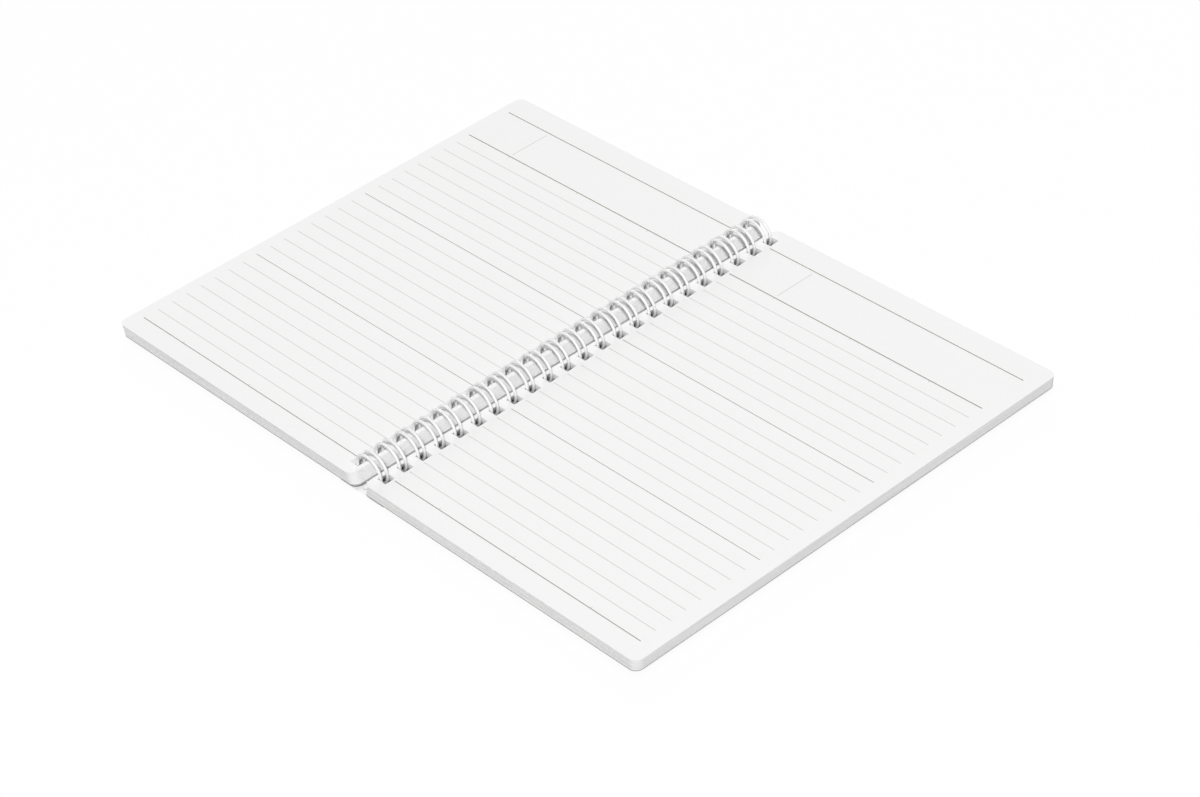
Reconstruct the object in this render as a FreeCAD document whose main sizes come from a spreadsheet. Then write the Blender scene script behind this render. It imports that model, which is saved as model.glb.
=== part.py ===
import FreeCAD, Part
import math
import os

import Sketcher
from FreeCAD import Vector

# Open wire-bound notebook, lying flat, in millimetres.
# X runs from the left page to the right page, Y up the page, Z up from the table.
# The spine's middle line is x = 0 and the sheets' mid-height is y = 0.

os.makedirs("parts", exist_ok=True)
doc = FreeCAD.newDocument("wire_notebook")

# Sizes
SIZES = [
    # A sheet, and the two stacks
    ("sheet_height", 210.0),
    ("fore_edge", 151.03),
    ("fore_fan", 0.71),
    ("spine_edge", 3.85),
    ("spine_fan", 1.75),
    ("stack_thickness", 5.20),
    ("cover_thickness", 0.50),
    ("leaf_clearance", 0.02),
    ("corner_radius", 3.50),
    # The row of punched holes, which follow the slant of the spine edge
    ("hole_count", 23.0),
    ("end_margin", 7.474),
    ("hole_length", 4.60),
    ("hole_width", 4.60),
    ("hole_edge", 5.80),
    ("hole_fan", 2.90),
    # The wire
    ("wire_flat_to_flat", 1.20),
    ("pair_spacing", 2.95),
    ("turning_clearance", 0.05),
    ("wire_play", 0.11),
    ("seam_gap", 0.27),
    ("seam_flat", 1.70),
    ("bend_run", 0.48),
]

sheet = doc.addObject("Spreadsheet::Sheet", "dims")
for row, (alias, value) in enumerate(SIZES, start=1):
    sheet.set("A%d" % row, alias)
    sheet.set("B%d" % row, "%.4f" % value)
    sheet.setAlias("B%d" % row, alias)
doc.recompute()


def size(alias):
    return float(getattr(sheet, alias))


# The wire's loops are straight lengths round one axis, level with the top sheets' faces.
# They clear the innermost punched corner all the way round as the leaves turn.
LOOP_STEPS = 16
HALF_STEP = 150.0 / LOOP_STEPS
AXIS = "(dims.stack_thickness + dims.turning_clearance)"
PUNCHED_CORNER = "hypot(dims.hole_edge - dims.hole_fan; %s)" % AXIS
LOOP_RADIUS = "((%s + dims.wire_play + dims.wire_flat_to_flat / 2) / %.8f)" % (
    PUNCHED_CORNER, math.cos(math.radians(HALF_STEP)))

# The loops are pressed flat at the seam, and that flat lies on the table
LOOP_CENTRE = "(dims.wire_flat_to_flat / 2 + sqrt(%s ^ 2 - dims.seam_flat ^ 2))" % LOOP_RADIUS
REST_HEIGHT = "%s - %s" % (LOOP_CENTRE, AXIS)
COVER_LOW = "0"
COVER_HIGH = "dims.cover_thickness"
PAGES_LOW = "dims.cover_thickness + dims.leaf_clearance"
PAGES_HIGH = "dims.stack_thickness"
HOLE_ROW = "dims.sheet_height - 2 * dims.end_margin"


def slanted(edge, fan, level):
    """The x of an edge that leans in by its fan from the top of the stack to the cover's underside."""
    return "(dims.%s - dims.%s * (1 - (%s) / dims.stack_thickness))" % (edge, fan, level)


def hole_inner(level):
    return slanted("hole_edge", "hole_fan", level)


def hole_outer(level):
    return "(%s + dims.hole_width)" % hole_inner(level)


def origin_plane(body, role):
    for item in body.Origin.OriginFeatures:
        if item.Role == role:
            return item
    raise RuntimeError("no " + role)


def profile(body, name, corners):
    """A closed four-sided profile in the XZ plane, each corner held by two expressions."""
    sketch = body.newObject("Sketcher::SketchObject", name)
    sketch.AttachmentSupport = [(origin_plane(body, "XZ_Plane"), "")]
    sketch.MapMode = "FlatFace"
    start = [(0.0, 0.0), (10.0, 0.0), (10.0, 5.0), (0.0, 5.0)]
    for k in range(4):
        a = start[k]
        b = start[(k + 1) % 4]
        sketch.addGeometry(Part.LineSegment(Vector(a[0], a[1], 0), Vector(b[0], b[1], 0)), False)
    for k in range(4):
        sketch.addConstraint(Sketcher.Constraint("Coincident", k, 2, (k + 1) % 4, 1))
    for k, (x_text, z_text) in enumerate(corners):
        for axis, text in (("DistanceX", x_text), ("DistanceY", z_text)):
            place = start[k][0] if axis == "DistanceX" else start[k][1]
            index = sketch.addConstraint(Sketcher.Constraint(axis, -1, 1, k, 1, place))
            sketch.setExpression("Constraints[%d]" % index, text)
    return sketch


def leaf_stack(name, side, low, high, upright=False):
    """A stack of sheets between two levels, rounded at its corners and punched along the spine.

    side is -1 for the left of the open notebook and 1 for the right.
    An upright stack is cut square, as a single board is; the others fan with the slant."""
    body = doc.addObject("PartDesign::Body", name)
    body.Label = name
    body.setExpression("Placement.Base.z", REST_HEIGHT)
    sign = "%d * " % side
    foot = low
    head = low if upright else high

    outline = profile(body, name + "_profile", [
        (sign + slanted("spine_edge", "spine_fan", foot), low),
        (sign + slanted("fore_edge", "fore_fan", foot), low),
        (sign + slanted("fore_edge", "fore_fan", head), high),
        (sign + slanted("spine_edge", "spine_fan", head), high),
    ])
    doc.recompute()
    stack = body.newObject("PartDesign::Pad", name + "_stack")
    stack.Profile = outline
    stack.SideType = "Symmetric"
    stack.setExpression("Length", "dims.sheet_height")
    doc.recompute()

    half = size("sheet_height") / 2
    corner_edges = []
    for index, edge in enumerate(stack.Shape.Edges, start=1):
        ends = [v.Point for v in edge.Vertexes]
        at_end = all(abs(abs(p.y) - half) < 1e-4 for p in ends)
        if at_end and abs(ends[0].y - ends[1].y) < 1e-4 and abs(ends[0].z - ends[1].z) > 1e-4:
            corner_edges.append("Edge%d" % index)
    rounded = body.newObject("PartDesign::Fillet", name + "_corners")
    rounded.Base = (stack, corner_edges)
    rounded.setExpression("Radius", "dims.corner_radius")
    doc.recompute()

    below = "(%s) - 1" % low
    above = "(%s) + 1" % high
    foot = low if upright else below
    head = low if upright else above
    hole = profile(body, name + "_hole", [
        (sign + hole_inner(foot), below),
        (sign + hole_outer(foot), below),
        (sign + hole_outer(head), above),
        (sign + hole_inner(head), above),
    ])
    hole.setExpression("AttachmentOffset.Base.z", "(%s) / 2" % HOLE_ROW)
    doc.recompute()
    punched = body.newObject("PartDesign::Pocket", name + "_first_hole")
    punched.Profile = hole
    punched.SideType = "Symmetric"
    punched.setExpression("Length", "dims.hole_length")
    doc.recompute()

    row = body.newObject("PartDesign::LinearPattern", name + "_hole_row")
    row.Originals = [punched]
    row.Direction = (origin_plane(body, "Y_Axis"), [""])
    row.setExpression("Length", HOLE_ROW)
    row.setExpression("Occurrences", "dims.hole_count")
    body.Tip = row
    doc.recompute()
    return body


# The four leaf stacks: a cover under each block of pages
front_cover = leaf_stack("front_cover", -1, COVER_LOW, COVER_HIGH, upright=True)
left_pages = leaf_stack("left_pages", -1, PAGES_LOW, PAGES_HIGH)
back_cover = leaf_stack("back_cover", 1, COVER_LOW, COVER_HIGH, upright=True)
right_pages = leaf_stack("right_pages", 1, PAGES_LOW, PAGES_HIGH)


# The wire: one length, bent into pairs of loops and closed round the spine
SIDES = 6


def wire_path():
    """The centre line of the whole wire, from one cut end to the other.

    Each pair of loops leaves a straight run at the seam, goes up the left side, over the top
    and down the right, turns at the pair's closed tip and comes back the same way."""
    low = size("wire_flat_to_flat") / 2
    axis = size("stack_thickness") + size("turning_clearance")
    punched_corner = math.hypot(size("hole_edge") - size("hole_fan"), axis)
    radius = (punched_corner + size("wire_play") + low) / math.cos(math.radians(HALF_STEP))
    start = math.asin(size("seam_flat") / radius)
    centre = low + radius * math.cos(start)
    loop = []
    for step in range(LOOP_STEPS + 1):
        angle = start + (2 * math.pi - 2 * start) * step / LOOP_STEPS
        loop.append((-radius * math.sin(angle), centre - radius * math.cos(angle)))
    count = int(round(size("hole_count")))
    pitch = (size("sheet_height") - 2 * size("end_margin")) / (count - 1)
    half_pair = size("pair_spacing") / 2
    bend = size("bend_run")
    seam = low + size("seam_gap") / 2
    points = [Vector(-seam, -pitch * count / 2, low)]
    for k in range(count):
        middle = (k - (count - 1) / 2.0) * pitch
        near = middle - half_pair
        far = middle + half_pair
        points.append(Vector(-seam, near - bend, low))
        points.append(Vector(-seam - bend, near, low))
        points.extend(Vector(x, near, z) for x, z in loop)
        points.append(Vector(seam + bend, near, low))
        points.append(Vector(seam, near + bend, low))
        points.append(Vector(seam, far - bend, low))
        points.append(Vector(seam + bend, far, low))
        points.extend(Vector(x, far, z) for x, z in reversed(loop))
        points.append(Vector(-seam - bend, far, low))
        points.append(Vector(-seam, far + bend, low))
    points.append(Vector(-seam, pitch * count / 2, low))
    return points


def mitred_wire(points, flat_to_flat):
    """A many-sided wire along straight lengths, each mitred to the next."""
    corner = flat_to_flat / 2 / math.cos(math.pi / SIDES)
    runs = [(b - a).normalize() for a, b in zip(points, points[1:])]
    across = Vector(1, 0, 0)
    first = runs[0]
    up = first.cross(across).normalize()
    ring = []
    for k in range(SIDES):
        turn = 2 * math.pi * k / SIDES
        ring.append(points[0] + across * (corner * math.cos(turn)) + up * (corner * math.sin(turn)))
    rings = [ring]
    for k, run in enumerate(runs):
        following = runs[k + 1] if k + 1 < len(runs) else run
        normal = (run + following).normalize()
        target = points[k + 1]
        ring = [p + run * ((target - p).dot(normal) / run.dot(normal)) for p in ring]
        rings.append(ring)
    faces = [Part.Face(Part.makePolygon(rings[0] + [rings[0][0]]))]
    for a, b in zip(rings, rings[1:]):
        for k in range(SIDES):
            j = (k + 1) % SIDES
            faces.append(Part.Face(Part.makePolygon([a[k], a[j], b[j], b[k], a[k]])))
    faces.append(Part.Face(Part.makePolygon(rings[-1] + [rings[-1][0]])))
    shell = Part.makeShell(faces)
    shell.sewShape()
    solid = Part.makeSolid(shell)
    if solid.Volume < 0:
        solid.reverse()
    return solid


wire = doc.addObject("Part::Feature", "twin_loop_wire")
wire.Label = "twin_loop_wire"
wire.Shape = mitred_wire(wire_path(), size("wire_flat_to_flat"))
wire.Placement = FreeCAD.Placement()
doc.recompute()

# Every piece is checked, then written under its own name
for item in doc.Objects:
    if "Invalid" in item.State or "Error" in item.State:
        raise RuntimeError(item.Label + " did not build")
for piece in (front_cover, left_pages, wire, right_pages, back_cover):
    shape = piece.Shape
    if not shape.isValid() or len(shape.Solids) != 1 or shape.Volume <= 0:
        raise RuntimeError(piece.Label + " is not one valid solid")
    shape.exportStep("parts/%s.step" % piece.Label)
    box = shape.BoundBox
    print(piece.Label, [round(v, 3) for v in (box.XMin, box.XMax, box.YMin, box.YMax, box.ZMin, box.ZMax)],
          "faces", len(shape.Faces))
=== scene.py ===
import math
import random

import bpy
from mathutils import Matrix, Vector
from mathutils.geometry import delaunay_2d_cdt


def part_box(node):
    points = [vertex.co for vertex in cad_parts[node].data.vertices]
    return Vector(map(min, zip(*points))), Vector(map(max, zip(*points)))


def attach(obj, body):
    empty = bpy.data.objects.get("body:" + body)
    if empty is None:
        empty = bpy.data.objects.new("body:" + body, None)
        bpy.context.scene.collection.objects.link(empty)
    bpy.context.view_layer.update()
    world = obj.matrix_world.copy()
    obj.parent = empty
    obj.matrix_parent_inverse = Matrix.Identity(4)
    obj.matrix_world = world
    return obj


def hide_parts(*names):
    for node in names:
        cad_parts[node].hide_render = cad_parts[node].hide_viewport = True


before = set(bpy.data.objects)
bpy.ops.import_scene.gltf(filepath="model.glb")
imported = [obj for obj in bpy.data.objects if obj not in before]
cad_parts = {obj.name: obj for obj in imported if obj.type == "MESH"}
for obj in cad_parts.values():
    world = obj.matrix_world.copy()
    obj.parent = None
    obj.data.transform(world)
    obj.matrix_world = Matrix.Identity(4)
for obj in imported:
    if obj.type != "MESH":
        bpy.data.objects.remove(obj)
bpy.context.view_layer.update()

MM = 0.001

# Sizes, in millimetres, in the part's own frame.
# The stacks are slanted: LOW is at a cover's underside, TOP at the face of the top leaf.

SHEET_HEIGHT = 210.0
FORE_EDGE_LOW, FORE_EDGE_TOP = 150.32, 151.03
SPINE_EDGE_LOW, SPINE_EDGE_TOP = 2.10, 3.85
STACK = 5.20
COVER_AND_CLEARANCE = 0.52
CORNER = 3.5

HOLES = 23
HOLE_PITCH = 8.866
HOLE_LENGTH = 4.6
HOLE_WIDTH = 4.6
HOLE_INNER_LOW, HOLE_INNER_TOP = 2.90, 5.80

WIRE = 1.20
LOOP_RADIUS = 6.799
PAIR_SPACING = 2.95
TURNING_CLEARANCE = 0.05
SEAM = 0.735  # from the middle of the spine to the straight runs at the seam
BEND = 0.48

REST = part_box("front_cover")[0].z / MM
PAGES_LOW = REST + COVER_AND_CLEARANCE
PAGES_HIGH = REST + STACK
LOOP_CENTRE = PAGES_HIGH + TURNING_CLEARANCE


# Mesh helpers

def new_mesh(name, vertices, faces, material, smooth=False):
    mesh = bpy.data.meshes.new(name)
    mesh.from_pydata([tuple(c * MM for c in v) for v in vertices], [], faces)
    mesh.validate()
    mesh.update()
    mesh.materials.append(material)
    for polygon in mesh.polygons:
        polygon.use_smooth = smooth
    obj = bpy.data.objects.new(name, mesh)
    bpy.context.scene.collection.objects.link(obj)
    return obj


def rounded_rectangle(x0, x1, y0, y1, radius, steps=8):
    """Its points run anticlockwise, from the lower right corner."""
    points = []
    for cx, cy, start in ((x1 - radius, y0 + radius, -90), (x1 - radius, y1 - radius, 0),
                          (x0 + radius, y1 - radius, 90), (x0 + radius, y0 + radius, 180)):
        for k in range(steps + 1):
            angle = math.radians(start + 90 * k / steps)
            points.append((cx + radius * math.cos(angle), cy + radius * math.sin(angle)))
    return points


def at_level(low, high, z):
    """An edge of the slanted stack at a height."""
    return low + (high - low) * (z - REST) / STACK


# Node helpers

def node_material(name):
    material = bpy.data.materials.new(name)
    material.use_nodes = True
    nodes = material.node_tree.nodes
    return material, nodes, material.node_tree.links, nodes["Principled BSDF"]


def noise(nodes, links, vector, scale, detail=2):
    node = nodes.new("ShaderNodeTexNoise")
    node.inputs["Scale"].default_value = scale
    node.inputs["Detail"].default_value = detail
    links.new(vector, node.inputs["Vector"])
    return node.outputs["Fac"]


def colour_ramp(nodes, links, factor, dark, light, start=0.0, end=1.0):
    node = nodes.new("ShaderNodeValToRGB")
    for element, position, colour in zip(node.color_ramp.elements, (start, end), (dark, light)):
        element.position = position
        element.color = [*colour, 1]
    links.new(factor, node.inputs["Fac"])
    return node.outputs["Color"]


def map_range(nodes, links, value, from_low=0.0, from_high=1.0, to_low=0.0, to_high=1.0):
    node = nodes.new("ShaderNodeMapRange")
    for socket, number in (("From Min", from_low), ("From Max", from_high),
                           ("To Min", to_low), ("To Max", to_high)):
        node.inputs[socket].default_value = number
    links.new(value, node.inputs["Value"])
    return node.outputs["Result"]


def maths(nodes, links, operation, *values):
    """A Math node; each value is a number or a socket to read."""
    node = nodes.new("ShaderNodeMath")
    node.operation = operation
    for socket, value in zip(node.inputs, values):
        if isinstance(value, (int, float)):
            socket.default_value = value
        else:
            links.new(value, socket)
    return node.outputs["Value"]


def multiply_colours(nodes, links, first, second, factor=None):
    node = nodes.new("ShaderNodeMix")
    node.data_type = "RGBA"
    node.blend_type = "MULTIPLY"
    if factor is None:
        node.inputs["Factor"].default_value = 1.0
    else:
        links.new(factor, node.inputs["Factor"])
    links.new(first, node.inputs[6])
    links.new(second, node.inputs[7])
    return node.outputs[2]


def add_bump(nodes, links, shader, height, strength, distance):
    node = nodes.new("ShaderNodeBump")
    node.inputs["Strength"].default_value = strength
    node.inputs["Distance"].default_value = distance
    links.new(height, node.inputs["Height"])
    links.new(node.outputs["Normal"], shader.inputs["Normal"])


def separate_axes(nodes, links, vector):
    node = nodes.new("ShaderNodeSeparateXYZ")
    links.new(vector, node.inputs["Vector"])
    return node.outputs


def seen_directly(nodes, links):
    """1 for what the camera sees, straight or in gloss, and 0 for light thrown on the object."""
    rays = nodes.new("ShaderNodeLightPath")
    return maths(nodes, links, "MAXIMUM", rays.outputs["Is Camera Ray"], rays.outputs["Is Glossy Ray"])


# Materials

PAPER_COLOUR = (0.905, 0.905, 0.903)
CARD_COLOUR = (0.52, 0.52, 0.515)
LEAF_LINE_SCALE = (30, 30, 5200)  # long along the sheets, one line to a leaf or so across them

# A punched hole's wall carries painted shade: it keeps the paper's colour down to the first depth,
# and is painted darkest from the second, in millimetres below the top leaf
HOLE_SHADE_START_DEPTH = 1.2
HOLE_SHADE_FULL_DEPTH = 4.1
HOLE_PAINTED_SHADE_COLOUR = (0.10, 0.10, 0.098)


def leaf_lines_with_gap_shade(nodes, links, where, depth, detail):
    """The lines that cut leaf edges show, as a shade from 1 - depth to 1: a random tone along the
    edges and painted shade in the gaps between leaves.
    """
    stretch = nodes.new("ShaderNodeMapping")
    stretch.inputs["Scale"].default_value = LEAF_LINE_SCALE
    links.new(where, stretch.inputs["Vector"])
    lines = noise(nodes, links, stretch.outputs["Vector"], 1, detail)
    return colour_ramp(nodes, links, lines, [1 - depth] * 3, (1, 1, 1), 0.35, 0.65)


def paper(name, colour, line_depth):
    """Uncoated paper with a faint fibre mottle, and leaf lines only where it stands upright; the leaf
    lines are partly painted shade of the gaps between leaves.
    """
    material, nodes, links, shader = node_material(name)
    where = nodes.new("ShaderNodeTexCoord").outputs
    mottle = noise(nodes, links, where["Object"], 900, 4)
    base = colour_ramp(nodes, links, mottle, [c * 0.985 for c in colour], colour, 0.3, 0.7)
    # leaf lines: a random tone and painted shade of the gaps between leaves
    lines = leaf_lines_with_gap_shade(nodes, links, where["Object"], line_depth, 3)
    facing = separate_axes(nodes, links, where["Normal"])["Z"]
    upright = map_range(nodes, links, maths(nodes, links, "ABSOLUTE", facing), 0.9, 0.4)
    lined = multiply_colours(nodes, links, base, lines, upright)
    links.new(lined, shader.inputs["Base Color"])
    fibres = noise(nodes, links, where["Object"], 5000, 3)
    add_bump(nodes, links, shader, fibres, 0.12, 0.00003)
    shader.inputs["Roughness"].default_value = 0.85
    shader.inputs["Specular IOR Level"].default_value = 0.25
    return material


def punched_edge_painted_shade():
    """The cut edges of the leaves down a punched hole, with painted shade: darker towards the foot of
    the block, as the shade deep in a hole.
    """
    material, nodes, links, shader = node_material("punched_paper_edge_painted_shade")
    where = nodes.new("ShaderNodeTexCoord").outputs["Object"]
    # painted shade: the wall's colour darkens from the paper's to near black with depth below the top
    # leaf
    height = map_range(nodes, links, separate_axes(nodes, links, where)["Z"],
                       (PAGES_HIGH - HOLE_SHADE_FULL_DEPTH) * MM, (PAGES_HIGH - HOLE_SHADE_START_DEPTH) * MM)
    depth = colour_ramp(nodes, links, height, HOLE_PAINTED_SHADE_COLOUR, PAPER_COLOUR)
    # the same leaf lines, with their painted shade of the gaps between leaves
    lines = leaf_lines_with_gap_shade(nodes, links, where, 0.2, 2)
    links.new(multiply_colours(nodes, links, depth, lines), shader.inputs["Base Color"])
    shader.inputs["Roughness"].default_value = 0.9
    shader.inputs["Specular IOR Level"].default_value = 0.2
    return material


def ink(name, colour):
    material, nodes, links, shader = node_material(name)
    where = nodes.new("ShaderNodeTexCoord").outputs["Object"]
    grain = noise(nodes, links, where, 2500)
    shade = colour_ramp(nodes, links, grain, [c * 0.9 for c in colour],
                        [min(1, c * 1.08) for c in colour])
    links.new(shade, shader.inputs["Base Color"])
    shader.inputs["Roughness"].default_value = 0.7
    shader.inputs["Specular IOR Level"].default_value = 0.2
    return material


def coated_wire():
    """A white plastic coat with a slight unevenness."""
    material, nodes, links, shader = node_material("white_wire_coating")
    where = nodes.new("ShaderNodeTexCoord").outputs["Object"]
    skin = noise(nodes, links, where, 1500, 3)
    links.new(colour_ramp(nodes, links, skin, [0.80] * 3, [0.85] * 3), shader.inputs["Base Color"])
    add_bump(nodes, links, shader, skin, 0.05, 0.00002)
    shader.inputs["Roughness"].default_value = 0.3
    shader.inputs["Coat Weight"].default_value = 0.5
    shader.inputs["Coat Roughness"].default_value = 0.15
    return material


PAGE = paper("page_paper", PAPER_COLOUR, 0.15)
# the hole walls' material, with painted shade down the holes
PUNCHED_EDGE_PAINTED_SHADE = punched_edge_painted_shade()
BOARD = paper("cover_card", CARD_COLOUR, 0.05)
HEAVY_INK = ink("heavy_rule_ink", (0.34, 0.33, 0.29))
FINE_INK = ink("fine_rule_ink", (0.62, 0.61, 0.565))
COATING = coated_wire()


# The stacks of leaves: thin sheets with rounded corners and punched holes,
# each laid a hair out of line with the one below, except the lowest and the top one

LEAF_COUNT = 26
LEAF_SHARE = 0.97  # of the pitch from leaf to leaf; the rest is the gap
SHIFT_RANGE = (-0.012, 0.006)  # across the spine
SLIDE_RANGE = (-0.03, 0.03)  # along the spine
TRIM = 0.05  # keeps a leaf that slides inside the stack's ends


def stack_of_leaves(name, side, seed):
    """side is -1 for the left of the open notebook and 1 for the right."""
    rng = random.Random(seed)
    pitch = (PAGES_HIGH - PAGES_LOW) / LEAF_COUNT
    vertices, faces, hole_walls = [], [], []
    half = SHEET_HEIGHT / 2
    for k in range(LEAF_COUNT):
        outermost = k in (0, LEAF_COUNT - 1)
        z0 = PAGES_LOW + pitch * k
        z1 = z0 + pitch * (LEAF_SHARE if k < LEAF_COUNT - 1 else 1.0)
        shift = 0.0 if outermost else rng.uniform(*SHIFT_RANGE)
        slide = 0.0 if outermost else rng.uniform(*SLIDE_RANGE)
        trim = 0.0 if outermost else TRIM
        middle = (z0 + z1) / 2
        spine = at_level(SPINE_EDGE_LOW, SPINE_EDGE_TOP, middle) + shift
        fore = at_level(FORE_EDGE_LOW, FORE_EDGE_TOP, middle) + shift
        inner = at_level(HOLE_INNER_LOW, HOLE_INNER_TOP, middle) + shift
        outline = rounded_rectangle(spine, fore, -half + trim + slide, half - trim + slide, CORNER)
        add_punched_sheet(vertices, faces, hole_walls, side, outline, inner, slide, z0, z1)
    stack = new_mesh(name, vertices, faces, PAGE)
    if len(stack.data.polygons) != len(faces):
        raise RuntimeError(name + " lost faces")
    # the walls round the holes take the material with painted shade
    stack.data.materials.append(PUNCHED_EDGE_PAINTED_SHADE)
    for index in hole_walls:
        stack.data.polygons[index].material_index = 1
    return stack


def add_punched_sheet(vertices, faces, hole_walls, side, outline, inner, slide, z0, z1):
    """Caps are made by triangulating the outline with its holes; walls join the two caps.

    hole_walls gathers the places in faces of the walls that stand round a hole."""
    outer = inner + HOLE_WIDTH
    loops = [outline]
    for k in range(HOLES):
        middle = (k - (HOLES - 1) / 2) * HOLE_PITCH + slide
        y0, y1 = middle - HOLE_LENGTH / 2, middle + HOLE_LENGTH / 2
        loops.append([(inner, y0), (inner, y1), (outer, y1), (outer, y0)])
    points, edges = [], []
    for loop in loops:
        first = len(points)
        points.extend(Vector(p) for p in loop)
        count = len(loop)
        edges.extend((first + i, first + (i + 1) % count) for i in range(count))
    flat, _, triangles, _, _, _ = delaunay_2d_cdt(points, edges, [], 0, 1e-6)

    def in_hole(x, y):
        if not inner < x < outer:
            return False
        place = (y - slide) / HOLE_PITCH + (HOLES - 1) / 2
        nearest = round(place)
        return 0 <= nearest < HOLES and abs(place - nearest) * HOLE_PITCH < HOLE_LENGTH / 2

    def inside_outline(x, y):
        inside = False
        for (ax, ay), (bx, by) in zip(outline, outline[1:] + outline[:1]):
            if (ay > y) != (by > y) and x < (bx - ax) * (y - ay) / (by - ay) + ax:
                inside = not inside
        return inside

    base = len(vertices)
    count = len(flat)
    for z in (z0, z1):
        vertices.extend((side * p.x, p.y, z) for p in flat)
    for tri in triangles:
        cx = sum(flat[i].x for i in tri) / 3
        cy = sum(flat[i].y for i in tri) / 3
        if in_hole(cx, cy) or not inside_outline(cx, cy):
            continue
        up = [base + count + i for i in tri]
        down = [base + i for i in reversed(tri)]
        if side < 0:
            up.reverse()
            down.reverse()
        faces.append(up)
        faces.append(down)
    for index, (a, b) in enumerate(edges):
        wall = [base + a, base + b, base + count + b, base + count + a]
        if side < 0:
            wall.reverse()
        if index >= len(outline):
            hole_walls.append(len(faces))
        faces.append(wall)


left_stack = stack_of_leaves("left_page_stack", -1, 11)
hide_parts("left_pages")
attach(left_stack, "left_leaves")

right_stack = stack_of_leaves("right_page_stack", 1, 12)
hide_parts("right_pages")
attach(right_stack, "right_leaves")

for node in ("front_cover", "back_cover"):
    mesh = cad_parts[node].data
    mesh.materials.clear()
    mesh.materials.append(BOARD)


# Printed rules: flat strips of ink just proud of the paper, above and below each block.
# A leaf is ruled on both faces, so each block's underside carries the other half's page, mirrored.

RULE_HEIGHT = PAGES_HIGH + 0.012
UNDER_RULE_HEIGHT = PAGES_LOW - 0.010
RULES = 25
RULE_PITCH = 7.017
FIRST_RULE = 72.12
HEAD_RULE = 94.09
RULE_WIDTH = 0.30
HEAD_WIDTH = 0.455
HEAVY_WIDTHS = {0: 0.50, 8: 0.315, 16: 0.29, 24: 0.40}
TICK = 0.30
TICK_GAP = 0.2
TICK_REACH = 1.1
DIVIDER_LOW, DIVIDER_HIGH = 73.6, 92.4


def page_rules(x0, x1, divider, ticks):
    """The heavy and the fine bars of a printed page, as (x0, x1, y0, y1) rectangles."""
    heavy = [(x0, x1, HEAD_RULE - HEAD_WIDTH / 2, HEAD_RULE + HEAD_WIDTH / 2)]
    fine = []
    for k in range(RULES):
        y = FIRST_RULE - RULE_PITCH * k
        half = HEAVY_WIDTHS.get(k, RULE_WIDTH) / 2
        (heavy if k in HEAVY_WIDTHS else fine).append((x0, x1, y - half, y + half))
    fine.append((divider - TICK / 2, divider + TICK / 2, DIVIDER_LOW, DIVIDER_HIGH))
    foot = FIRST_RULE - RULE_PITCH * (RULES - 1)
    for x in ticks:
        left, right = x - TICK / 2, x + TICK / 2
        fine.append((left, right, FIRST_RULE - TICK_REACH, FIRST_RULE - TICK_GAP))
        fine.append((left, right, foot + TICK_GAP, foot + TICK_REACH))
    return heavy, fine


def strips(name, body, upper, under, material):
    """upper bars lie on the block; under bars are another page's, seen from below."""
    vertices, faces = [], []
    for bars, side, z in ((upper, 1, RULE_HEIGHT), (under, -1, UNDER_RULE_HEIGHT)):
        for x0, x1, y0, y1 in bars:
            base = len(vertices)
            vertices += [(side * x, y, z) for x, y in ((x0, y0), (x1, y0), (x1, y1), (x0, y1))]
            faces.append((base, base + 1, base + 2, base + 3))
    obj = new_mesh(name, vertices, faces, material)
    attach(obj, body)


LEFT_RULES = page_rules(x0=-145.95, x1=-10.4, divider=-119.8, ticks=(-119.8, -77.4, -35.2))
RIGHT_RULES = page_rules(x0=11.4, x1=143.95, divider=36.4, ticks=(36.4, 77.4, 118.2))

for label, body, upper, under in (("left", "left_leaves", LEFT_RULES, RIGHT_RULES),
                                  ("right", "right_leaves", RIGHT_RULES, LEFT_RULES)):
    strips(label + "_heavy_rules", body, upper[0], under[0], HEAVY_INK)
    strips(label + "_fine_rules", body, upper[1], under[1], FINE_INK)


# The wire: one round wire swept along its whole length

LOOP_STEPS = 44
BEND_STEPS = 4
WIRE_SIDES = 10


def bend(start, corner, end):
    """Points of a round bend between two straight runs that meet at a corner."""
    points = []
    for step in range(BEND_STEPS + 1):
        t = step / BEND_STEPS
        points.append(tuple((1 - t) ** 2 * a + 2 * t * (1 - t) * b + t ** 2 * c
                            for a, b, c in zip(start, corner, end)))
    return points


def wire_route():
    """From one cut end to the other.

    Each loop goes up the left, over the top and down the right, and comes back the same way
    from the pair's closed tip."""
    low = WIRE / 2
    start = math.acos((LOOP_CENTRE - low) / LOOP_RADIUS)
    loop = []
    for step in range(LOOP_STEPS + 1):
        angle = start + (2 * math.pi - 2 * start) * step / LOOP_STEPS
        loop.append((-LOOP_RADIUS * math.sin(angle), LOOP_CENTRE - LOOP_RADIUS * math.cos(angle)))
    half = PAIR_SPACING / 2
    wide = SEAM + BEND
    points = [(-SEAM, -HOLE_PITCH * HOLES / 2, low)]
    for k in range(HOLES):
        middle = (k - (HOLES - 1) / 2) * HOLE_PITCH
        near, far = middle - half, middle + half
        points += bend((-SEAM, near - BEND, low), (-SEAM, near, low), (-wide, near, low))
        points += [(x, near, z) for x, z in loop]
        points += bend((wide, near, low), (SEAM, near, low), (SEAM, near + BEND, low))
        points += bend((SEAM, far - BEND, low), (SEAM, far, low), (wide, far, low))
        points += [(x, far, z) for x, z in reversed(loop)]
        points += bend((-wide, far, low), (-SEAM, far, low), (-SEAM, far + BEND, low))
    points.append((-SEAM, HOLE_PITCH * HOLES / 2, low))
    return [Vector(p) for p in points]


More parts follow.
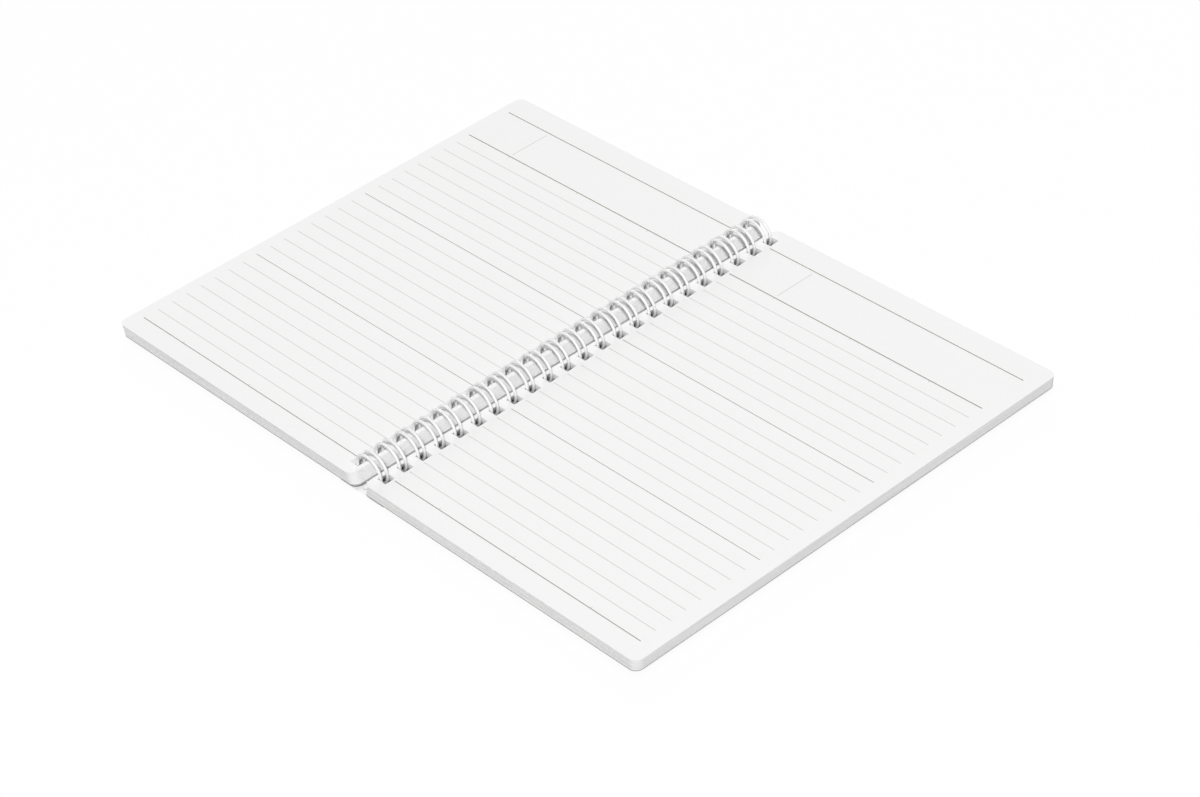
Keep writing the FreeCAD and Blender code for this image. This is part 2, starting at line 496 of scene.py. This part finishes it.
def swept_wire(name, points, radius):
    vertices, faces = [], []
    runs = [(b - a).normalized() for a, b in zip(points, points[1:])]
    across = Vector((1, 0, 0))
    for k, point in enumerate(points):
        before = runs[max(0, k - 1)]
        after = runs[min(k, len(runs) - 1)]
        along = (before + after).normalized()
        across = (across - along * across.dot(along)).normalized()
        up = along.cross(across)
        for s in range(WIRE_SIDES):
            turn = 2 * math.pi * s / WIRE_SIDES
            vertices.append(tuple(point + across * (radius * math.cos(turn))
                                  + up * (radius * math.sin(turn))))
    for k in range(len(points) - 1):
        ring, following = k * WIRE_SIDES, (k + 1) * WIRE_SIDES
        for s in range(WIRE_SIDES):
            t = (s + 1) % WIRE_SIDES
            faces.append((ring + s, ring + t, following + t, following + s))
    faces.append(tuple(reversed(range(WIRE_SIDES))))
    faces.append(tuple(range((len(points) - 1) * WIRE_SIDES, len(points) * WIRE_SIDES)))
    return new_mesh(name, vertices, faces, COATING, smooth=True)


wire = swept_wire("twin_loop_binding", wire_route(), WIRE / 2)
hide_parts("twin_loop_wire")
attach(wire, "binding")


# Floor, world and lamps

FLOOR_REACH = 4000.0
FLOOR_SEEN = 0.97
FLOOR_BOUNCE = 0.42
FLOOR_GLOW = 0.88
DARK_STRIP = (("X", 0.0125), ("Y", 0.104))  # in metres, half of each side
WORLD_SEEN = 1.0
WORLD_ON_OBJECT = 0.34


def floor_material():
    """White to the camera and in gloss, a duller grey in the light that it throws back."""
    material, nodes, links, shader = node_material("floor")
    seen = seen_directly(nodes, links)
    colour = nodes.new("ShaderNodeMix")
    colour.data_type = "RGBA"
    colour.inputs[6].default_value = (FLOOR_BOUNCE, FLOOR_BOUNCE, FLOOR_BOUNCE, 1)
    colour.inputs[7].default_value = (FLOOR_SEEN, FLOOR_SEEN, FLOOR_SEEN, 1)
    links.new(seen, colour.inputs["Factor"])
    links.new(colour.outputs[2], shader.inputs["Base Color"])
    shader.inputs["Roughness"].default_value = 0.9

    # no glow under the binding, so that the holes and the slot between the halves stay dark
    where = nodes.new("ShaderNodeTexCoord").outputs["Object"]
    axes = separate_axes(nodes, links, where)
    beyond = [maths(nodes, links, "GREATER_THAN", maths(nodes, links, "ABSOLUTE", axes[axis]), reach)
              for axis, reach in DARK_STRIP]
    clear = maths(nodes, links, "MAXIMUM", *beyond)
    share = maths(nodes, links, "MULTIPLY", maths(nodes, links, "MULTIPLY", seen, clear), FLOOR_GLOW)

    glow = nodes.new("ShaderNodeEmission")
    glow.inputs["Strength"].default_value = 1.0
    mix = nodes.new("ShaderNodeMixShader")
    links.new(share, mix.inputs["Fac"])
    links.new(shader.outputs[0], mix.inputs[1])
    links.new(glow.outputs[0], mix.inputs[2])
    links.new(mix.outputs[0], nodes["Material Output"].inputs["Surface"])
    return material


floor = new_mesh("floor", [(-FLOOR_REACH, -FLOOR_REACH, 0), (FLOOR_REACH, -FLOOR_REACH, 0),
                           (FLOOR_REACH, FLOOR_REACH, 0), (-FLOOR_REACH, FLOOR_REACH, 0)],
                 [(0, 1, 2, 3)], floor_material())

world = bpy.data.worlds.new("studio")
bpy.context.scene.world = world
world.use_nodes = True
nodes, links = world.node_tree.nodes, world.node_tree.links
background = nodes["Background"]
background.inputs["Color"].default_value = (1, 1, 1, 1)
links.new(map_range(nodes, links, seen_directly(nodes, links),
                    to_low=WORLD_ON_OBJECT, to_high=WORLD_SEEN), background.inputs["Strength"])


def area_light(name, place, size, power):
    """A square lamp that faces the notebook; place and size are in metres."""
    data = bpy.data.lights.new(name, "AREA")
    data.shape = "SQUARE"
    data.size = size
    data.energy = power
    lamp = bpy.data.objects.new(name, data)
    lamp.location = place
    lamp.rotation_euler = (-Vector(place)).to_track_quat("-Z", "Y").to_euler()
    bpy.context.scene.collection.objects.link(lamp)


area_light("key", (4.68, -4.10, 6.50), size=0.9, power=650)
area_light("fill", (-4.2, 3.6, 2.2), size=2.0, power=72)


# The camera, fitted to the photograph's own straight edges

CAMERA_PLACE = Vector((0.81505, -0.61499, 0.74307 + REST * MM))
CAMERA_BACK = Vector((0.63537, -0.48747, 0.59890)).normalized()
CAMERA_RIGHT = Vector((0.66525, 0.73935, -0.10398)).normalized()
CAMERA_UP = CAMERA_BACK.cross(CAMERA_RIGHT)

camera_data = bpy.data.cameras.new("photo_camera")
camera_data.sensor_fit = "HORIZONTAL"
camera_data.sensor_width = 36.0
camera_data.lens = 99.75
camera_data.clip_start = 0.05
camera = bpy.data.objects.new("photo_camera", camera_data)
turned = Matrix((CAMERA_RIGHT, CAMERA_UP, CAMERA_BACK)).transposed().to_4x4()
camera.matrix_world = Matrix.Translation(CAMERA_PLACE) @ turned
bpy.context.scene.collection.objects.link(camera)
bpy.context.scene.camera = camera

bpy.context.scene.view_settings.view_transform = "Standard"
